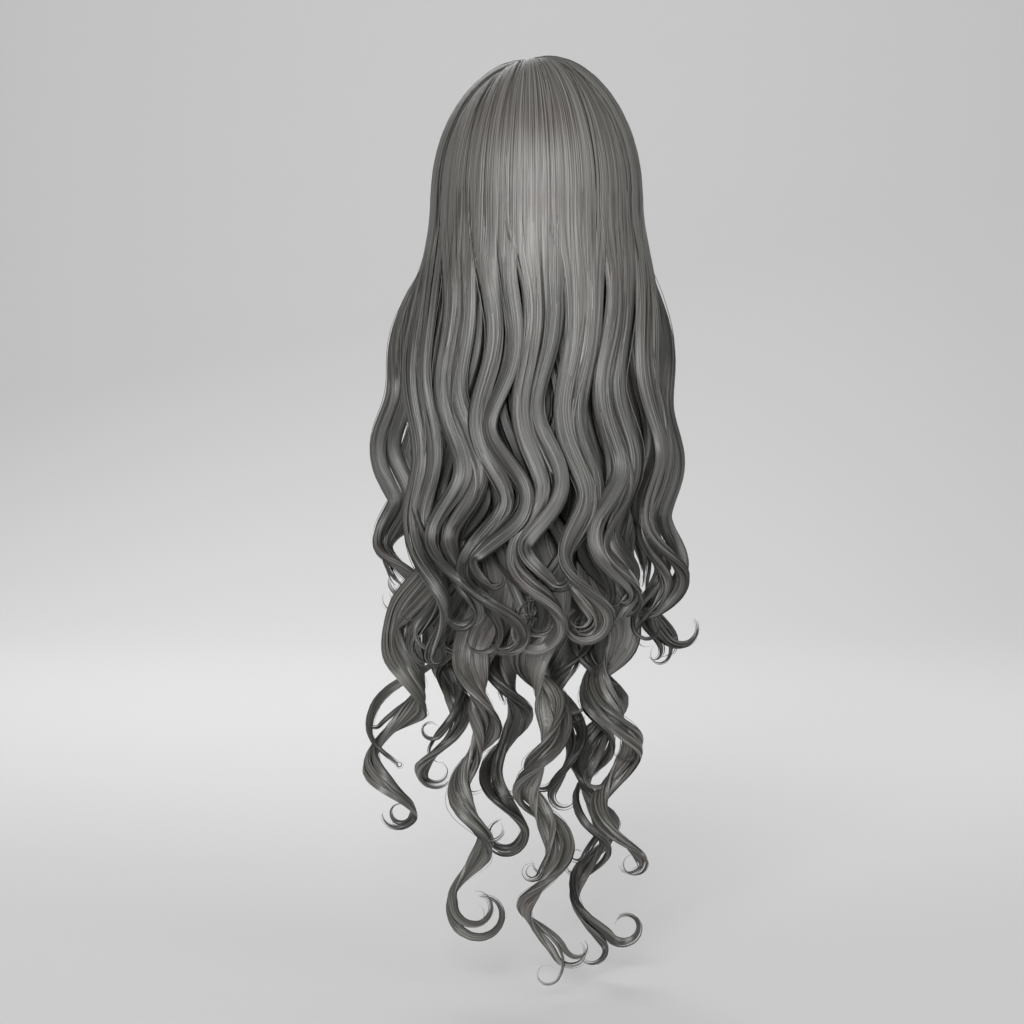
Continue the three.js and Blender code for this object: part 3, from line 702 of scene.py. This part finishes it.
# Real fibres are 0.08 mm thick: they are drawn as streaks of 1 to 2 mm, so that they show
STREAK = {"acrossPerMm": 0.75, "alongPerMetre": 4.0, "contrast": 2.3, "offset": -0.8, "shade": 0.6}
# The mauve patches: millimetres, the noise at which they start and are full, and their strength there
PATCH = {"size": 70, "start": 0.52, "full": 0.7, "most": 0.5}
# The net: its mesh of 1.5 mm is drawn at twice that, so that it shows, and how far from a cell's middle the
# hole ends and the yarn starts
NET = {"drawn": 3, "hole": 0.3, "yarn": 0.45}


def bare_material(name):
    """A material with no nodes yet, and what adds them."""
    material = bpy.data.materials.new(name)
    material.use_nodes = True
    material.node_tree.nodes.clear()
    return material, partial(add, material.node_tree)


def hair_material(colours):
    """Heat-resistant synthetic hair fibre, drawn smooth and dyed grey: the sheen lies in a band across the
    fibres, and each fibre is a little lighter or darker than the next."""
    material, node = bare_material(HAIR_NAME)
    place = node("ShaderNodeUVMap", uv_map="fibre")
    # shade holds each tress's own tone with painted shade in it: cores, under layers, deeper copies and
    # hanging hair are darker
    shade = node("ShaderNodeAttribute", out="Fac", attribute_name="shade")
    # Over the crown, where the locks lie level with one another, one pattern fans out over them all
    where = node("ShaderNodeTexCoord", out="Object")
    fan = node(VECTOR, {0: where, 1: (PARTING["x"] * MM, 0, 0)}, operation="SUBTRACT")
    fan = node("ShaderNodeSeparateXYZ", {0: fan}, None).outputs
    round_head = node(MATH, {0: fan["X"], 1: fan["Y"]}, operation="ARCTAN2")
    round_head = node(MATH, {0: round_head, 1: CROWN_RADIUS * MM}, operation="MULTIPLY")
    fan = node("ShaderNodeCombineXYZ", {"X": round_head, "Y": fan["Z"]})
    crown = node("ShaderNodeAttribute", out="Fac", attribute_name="crown")
    stretch = (STREAK["acrossPerMm"] / MM, STREAK["alongPerMetre"], 1.0)
    noises = []
    for vector in (place, fan):
        streak = node("ShaderNodeMapping", {"Vector": vector, "Scale": stretch})
        noise = {"Vector": streak, "Scale": 1.0, "Detail": 3.0, "Roughness": 0.7}
        noises.append(node("ShaderNodeTexNoise", noise, noise_dimensions="2D"))
    streaks = node("ShaderNodeMix", {0: crown, 2: noises[0], 3: noises[1]}, data_type="FLOAT")
    blend = node(MATH, {0: streaks, 1: STREAK["contrast"], 2: STREAK["offset"]}, operation="MULTIPLY_ADD")
    blend = node(MATH, {0: shade, 1: STREAK["shade"], 2: blend}, operation="MULTIPLY_ADD")
    ramp = node("ShaderNodeValToRGB", {"Fac": blend}, None)
    steps = ((0.25, colours.dark), (0.6, colours.middle), (0.95, colours.light))
    ramp.color_ramp.elements.new(steps[1][0])
    for element, (position, colour) in zip(ramp.color_ramp.elements, steps):
        element.position = position
        element.color = (*colour, 1)
    # The dye takes a little unevenly, so some of the hair is faintly mauve
    patch = node("ShaderNodeTexNoise", {"Vector": where, "Scale": 1 / (PATCH["size"] * MM), "Detail": 1.0})
    patch = node(RANGE, {
        "Value": patch, "From Min": PATCH["start"], "From Max": PATCH["full"], "To Max": PATCH["most"],
    })
    dyed = {0: patch, 6: ramp.outputs[0], 7: (*colours.mauve, 1)}
    dyed = node("ShaderNodeMix", dyed, 2, data_type="RGBA", blend_type="MULTIPLY")
    bump = node("ShaderNodeBump", {"Height": streaks, "Strength": 0.8, "Distance": 0.6 * MM})
    across = node("ShaderNodeTangent", direction_type="UV_MAP", uv_map="fibre")
    shader = node("ShaderNodeBsdfPrincipled", {
        "Base Color": dyed, "Normal": bump, "Tangent": across,
        "Roughness": 0.38, "IOR": 1.5, "Anisotropic": 0.7, "Specular IOR Level": 0.9,
    })
    node("ShaderNodeOutputMaterial", {"Surface": shader}, None)
    return material


def net_material(colours):
    """Knitted stretch net: thin dark yarn with small diamond holes, so it looks matt and finely pitted."""
    material, node = bare_material("knitted stretch net")
    place = node("ShaderNodeUVMap", uv_map="net")
    turned = node("ShaderNodeMapping", {"Vector": place, "Rotation": (0, 0, math.pi / 4)})
    cells = {"Vector": turned, "Scale": 1 / (NET["drawn"] * MM), "Randomness": 0.05}
    cells = node("ShaderNodeTexVoronoi", cells, distance="CHEBYCHEV")
    ramp = node("ShaderNodeValToRGB", {"Fac": cells}, None)
    # The holes are painted near black, for the shade seen through them
    steps = ((NET["hole"], colours.hole), (NET["yarn"], colours.yarn))
    for element, (position, colour) in zip(ramp.color_ramp.elements, steps):
        element.position = position
        element.color = (*colour, 1)
    bump = node("ShaderNodeBump", {"Height": cells, "Strength": 0.6, "Distance": 0.6 * MM})
    shader = node("ShaderNodeBsdfPrincipled", {
        "Base Color": ramp.outputs[0], "Normal": bump,
        "Roughness": 0.85, "IOR": 1.5, "Sheen Weight": 0.2,
    })
    node("ShaderNodeOutputMaterial", {"Surface": shader}, None)
    return material


def paper_material(colour):
    """Matt studio paper, for what the part stands in front of: an even, dull white with no grain to see."""
    material = bpy.data.materials.new("matt studio paper")
    material.use_nodes = True
    shader = material.node_tree.nodes["Principled BSDF"]
    shader.inputs["Base Color"].default_value = (*colour, 1)
    shader.inputs["Roughness"].default_value = 0.9
    return material


def colour_property(name, description, hex_colour):
    return FloatVectorProperty(
        name=name, description=description, subtype="COLOR", default=linear(hex_colour)[:3], min=0, max=1)


class WigHairSettings(bpy.types.PropertyGroup):
    wander: FloatProperty(
        name="Wander", description="How far ribbons of hair drift, against their layer's own drift",
        default=1.0, min=0.0, subtype="FACTOR")
    dark: colour_property("Dark Fibre", "Colour of the darkest fibres", "#262623")
    middle: colour_property("Middle Fibre", "Colour of most of the fibres", "#5C5B57")
    light: colour_property("Light Fibre", "Colour of the lightest fibres", "#84827D")
    mauve: colour_property("Mauve Tint", "What the faintly mauve patches are tinted with", "#F2DDE2")


class WigCapSettings(bpy.types.PropertyGroup):
    columns: IntProperty(name="Columns", description="Faces round the cap", default=96, min=12)
    rows: IntProperty(name="Rows", description="Faces from the cap's top to its edge", default=36, min=6)
    yarn: colour_property("Yarn", "Colour of the net's yarn", "#3C3C3A")
    hole: colour_property("Hole", "Colour in the net's holes", "#1D1D1C")


class WigStageSettings(bpy.types.PropertyGroup):
    camera_distance: FloatProperty(
        name="Camera Distance", description="From the hair on the back to the camera",
        default=2.8, min=0.5, unit="LENGTH")
    camera_elevation: FloatProperty(
        name="Camera Elevation", description="How far above the middle of the wig the camera looks from",
        default=math.radians(5.5), subtype="ANGLE")
    pixel: FloatProperty(
        name="Pixel Size", description="What one pixel of the picture covers at the hair",
        default=1.02 * MM, min=0.0, unit="LENGTH", precision=5)
    paper: colour_property("Paper", "Colour of the floor and backdrop", "#DEDEDE")


def build_lock(lock, number, tree, material, wander):
    """Makes one lock's visible piece, which stands for its solid."""
    rng = np.random.default_rng(SEED + number)
    tresses = TRESSES[lock["layer"]]
    guide = guide_object(lock["name"] + "_hair", tress_guides(lock, rng))
    piece = plain_mesh(guide, tree, {
        "Cores": 1,
        "Ribbons": tresses["ribbons"],
        "Strands": tresses["strands"],
        "Wander": tresses["wander"] * MM * wander,
        "Seed": SEED * 100 + number,
        "Fibre": material,
    })
    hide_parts(lock["name"])
    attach(piece, "root")


def build_locks(context, locks, first):
    """Makes a group of locks, numbered from first, with one tree and one material for the whole wig."""
    settings = context.scene.wig_hair
    tree = bpy.data.node_groups.get(TREE_NAME) or lock_tree()
    material = bpy.data.materials.get(HAIR_NAME) or hair_material(settings)
    for number, lock in enumerate(locks, first):
        build_lock(lock, number, tree, material, settings.wander)
    return {"FINISHED"}


class WIG_OT_crown_locks(bpy.types.Operator):
    """Make the waved locks that fan out from the crown and hang down the back"""
    bl_idname = "wig.crown_locks"
    bl_label = "Crown Locks"

    def execute(self, context):
        return build_locks(context, CROWN_LOCKS, 0)


class WIG_OT_parting_locks(bpy.types.Operator):
    """Make the locks along the parting, over the ears and shoulders and beside the face"""
    bl_idname = "wig.parting_locks"
    bl_label = "Parting Locks"

    def execute(self, context):
        return build_locks(context, PARTING_LOCKS, 10)


class WIG_OT_middle_locks(bpy.types.Operator):
    """Make the locks that fill the gaps between the outer ones"""
    bl_idname = "wig.middle_locks"
    bl_label = "Middle Locks"

    def execute(self, context):
        return build_locks(context, MIDDLE_LOCKS, 20)


class WIG_OT_ringlets(bpy.types.Operator):
    """Make the long coiled ringlets of the lower tier"""
    bl_idname = "wig.ringlets"
    bl_label = "Ringlets"

    def execute(self, context):
        return build_locks(context, RINGLETS, 30)


def edge_z(azimuth):
    """The height of the cap's edge, eased between the rows of its table."""
    away = abs(math.degrees(math.atan2(math.sin(azimuth), math.cos(azimuth))))
    for low, high in zip(CAP_EDGE, CAP_EDGE[1:]):
        if away <= high["azimuth"] + 1e-6:
            share = float(smoothstep(away, low["azimuth"], high["azimuth"]))
            return low["z"] + (high["z"] - low["z"]) * share
    raise ValueError(f"no edge at azimuth {azimuth}")


def cap_point(azimuth, share, inset):
    """A place on the cap's skin, at a share of the way from its top to its edge."""
    height = CAP["height"] - inset
    rim = edge_z(azimuth) - CAP["eavesZ"]
    dome_end = math.acos(min(1, max(0, rim / height)))
    travel = share * (dome_end * height + max(0, -rim))
    polar = min(dome_end, travel / height)
    point = girth_point(azimuth, -inset, math.sin(polar))
    point[2] += height * math.cos(polar) - max(0, travel - dome_end * height)
    return point * MM, travel * MM


class WIG_OT_cap(bpy.types.Operator):
    """Make the hollow net cap that the locks are sewn to"""
    bl_idname = "wig.cap"
    bl_label = "Cap"

    def execute(self, context):
        settings = context.scene.wig_cap
        columns, rows = settings.columns, settings.rows
        verts, faces, places = [], [], []
        for inset in (0, CAP["wall"]):
            for row in range(rows + 1):
                for column in range(columns):
                    azimuth = TURN * column / columns
                    point, travel = cap_point(azimuth, max(row / rows, CAP_TOP), inset)
                    verts.append(point)
                    places.append((azimuth * CAP["halfDepth"] * MM, travel))
        skin = (rows + 1) * columns

        def at(inner, row, column):
            return inner * skin + row * columns + column % columns

        for column in range(columns):
            after = column + 1
            for row in range(rows):
                below = row + 1
                corners = ((row, column), (row, after), (below, after), (below, column))
                faces.append([at(0, *corner) for corner in corners])
                faces.append([at(1, *corners[i]) for i in (0, 3, 2, 1)])
            faces.append([at(0, rows, column), at(0, rows, after), at(1, rows, after), at(1, rows, column)])
        faces.append([at(0, 0, column) for column in reversed(range(columns))])
        faces.append([at(1, 0, column) for column in range(columns)])
        mesh = bpy.data.meshes.new("wig_cap_net")
        mesh.from_pydata([tuple(v) for v in verts], [], faces)
        uv = mesh.uv_layers.new(name="net")
        for loop in mesh.loops:
            uv.data[loop.index].uv = places[loop.vertex_index]
        mesh.shade_smooth()
        mesh.materials.append(net_material(settings))
        cap = bpy.data.objects.new("wig_cap_net", mesh)
        context.scene.collection.objects.link(cap)
        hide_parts("wig_cap")
        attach(cap, "root")
        return {"FINISHED"}


# The stage, in metres. The paper lies flat from the front, bends up behind the part and rises as a backdrop.
HAIR_PLANE = 0.1  # behind the head's axis: where the picture's scale is measured
FLOOR_DROP = 0.012  # from the lowest curl to the floor
SWEEP = {"front": 6.0, "back": -2.5, "bend": 2.5, "height": 6.0, "halfWidth": 8.0, "steps": 16}
LIGHTS = table(
    "name place target size power",
    ("key_light", (0.6, 3.1, 0.6), (0, 0, -0.15), 1.4, 74),
    ("fill_light", (-2.4, 2.2, 0.3), (0, 0, -0.5), 2.2, 28),
    ("front_light", (0.9, -2.4, 1.6), (0, 0, -0.3), 1.8, 26),
    ("backdrop_light", (0.0, -1.5, 1.9), (0, -4.9, -0.5), 3.0, 42),
)
ROOM = {"Color": linear("#E6E6E6"), "Strength": 0.4}  # the even light that comes from all round
AXIS_PIXEL = 538  # the picture's column of the head's axis
LEVEL_PIXEL = 178  # the picture's row of the origin's height


class WIG_OT_stage(bpy.types.Operator):
    """Make the floor and backdrop, the soft studio lights and the camera behind the wig"""
    bl_idname = "wig.stage"
    bl_label = "Studio Stage"

    def execute(self, context):
        settings = context.scene.wig_stage
        self.make_sweep(context, settings)
        self.make_lights(context)
        self.make_camera(context, settings)
        return {"FINISHED"}

    def make_sweep(self, context, settings):
        floor_z = CAD_BOX[0][2] - FLOOR_DROP
        back, bend = SWEEP["back"], SWEEP["bend"]
        profile = [(SWEEP["front"], floor_z)]
        for i in range(SWEEP["steps"] + 1):
            angle = math.pi / 2 * i / SWEEP["steps"]
            profile.append((back - bend * math.sin(angle), floor_z + bend * (1 - math.cos(angle))))
        profile.append((back - bend, floor_z + SWEEP["height"]))
        verts = [(x, y, z) for x in (-SWEEP["halfWidth"], SWEEP["halfWidth"]) for y, z in profile]
        count = len(profile)
        faces = [(i, i + 1, count + i + 1, count + i) for i in range(count - 1)]
        mesh = bpy.data.meshes.new("paper_sweep")
        mesh.from_pydata(verts, [], faces)
        mesh.shade_smooth()
        mesh.materials.append(paper_material(settings.paper))
        sweep = bpy.data.objects.new("paper_sweep", mesh)
        context.scene.collection.objects.link(sweep)

    def make_lights(self, context):
        for row in LIGHTS:
            light = bpy.data.lights.new(row["name"], "AREA")
            light.size = row["size"]
            light.energy = row["power"]
            lamp = bpy.data.objects.new(row["name"], light)
            lamp.location = row["place"]
            aim = Vector(row["target"]) - lamp.location
            lamp.rotation_euler = aim.to_track_quat("-Z", "Y").to_euler()
            context.scene.collection.objects.link(lamp)
        world = bpy.data.worlds.new("studio")
        world.use_nodes = True
        for name, value in ROOM.items():
            world.node_tree.nodes["Background"].inputs[name].default_value = value
        context.scene.world = world
        # Colours come out as they are given, as a plain product picture has them
        context.scene.view_settings.view_transform = "Standard"

    def make_camera(self, context, settings):
        middle = PHOTO_SIZE / 2
        target = Vector((
            (AXIS_PIXEL - middle) * settings.pixel, HAIR_PLANE, (LEVEL_PIXEL - middle) * settings.pixel,
        ))
        away = Vector((0, math.cos(settings.camera_elevation), math.sin(settings.camera_elevation)))
        data = bpy.data.cameras.new("camera")
        data.sensor_fit = "HORIZONTAL"
        data.lens = data.sensor_width * settings.camera_distance / (PHOTO_SIZE * settings.pixel)
        camera = bpy.data.objects.new("camera", data)
        camera.location = target + away * settings.camera_distance
        camera.rotation_euler = (-away).to_track_quat("-Z", "Y").to_euler()
        context.scene.collection.objects.link(camera)
        context.scene.camera = camera


OPERATORS = (WIG_OT_cap, WIG_OT_crown_locks, WIG_OT_parting_locks, WIG_OT_middle_locks, WIG_OT_ringlets,
             WIG_OT_stage)


class WIG_PT_sidebar(bpy.types.Panel):
    """The wig's steps and settings"""
    bl_label = "Long Curly Wig"
    bl_idname = "WIG_PT_sidebar"
    bl_space_type = "VIEW_3D"
    bl_region_type = "UI"
    bl_category = "Wig"

    def draw(self, context):
        for operator in OPERATORS:
            self.layout.operator(operator.bl_idname)
        for group in (context.scene.wig_hair, context.scene.wig_cap, context.scene.wig_stage):
            box = self.layout.box()
            for name in group.bl_rna.properties.keys():
                if name not in ("rna_type", "name"):
                    box.prop(group, name)


CLASSES = (WigHairSettings, WigCapSettings, WigStageSettings, *OPERATORS, WIG_PT_sidebar)


def register():
    for cls in CLASSES:
        bpy.utils.register_class(cls)
    bpy.types.Scene.wig_hair = PointerProperty(type=WigHairSettings)
    bpy.types.Scene.wig_cap = PointerProperty(type=WigCapSettings)
    bpy.types.Scene.wig_stage = PointerProperty(type=WigStageSettings)


def unregister():
    for name in ("wig_hair", "wig_cap", "wig_stage"):
        delattr(bpy.types.Scene, name)
    for cls in reversed(CLASSES):
        bpy.utils.unregister_class(cls)


def main():
    register()
    bpy.ops.wig.cap()
    bpy.ops.wig.crown_locks()
    bpy.ops.wig.parting_locks()
    bpy.ops.wig.middle_locks()
    bpy.ops.wig.ringlets()
    bpy.ops.wig.stage()


if __name__ == "__main__":
    main()
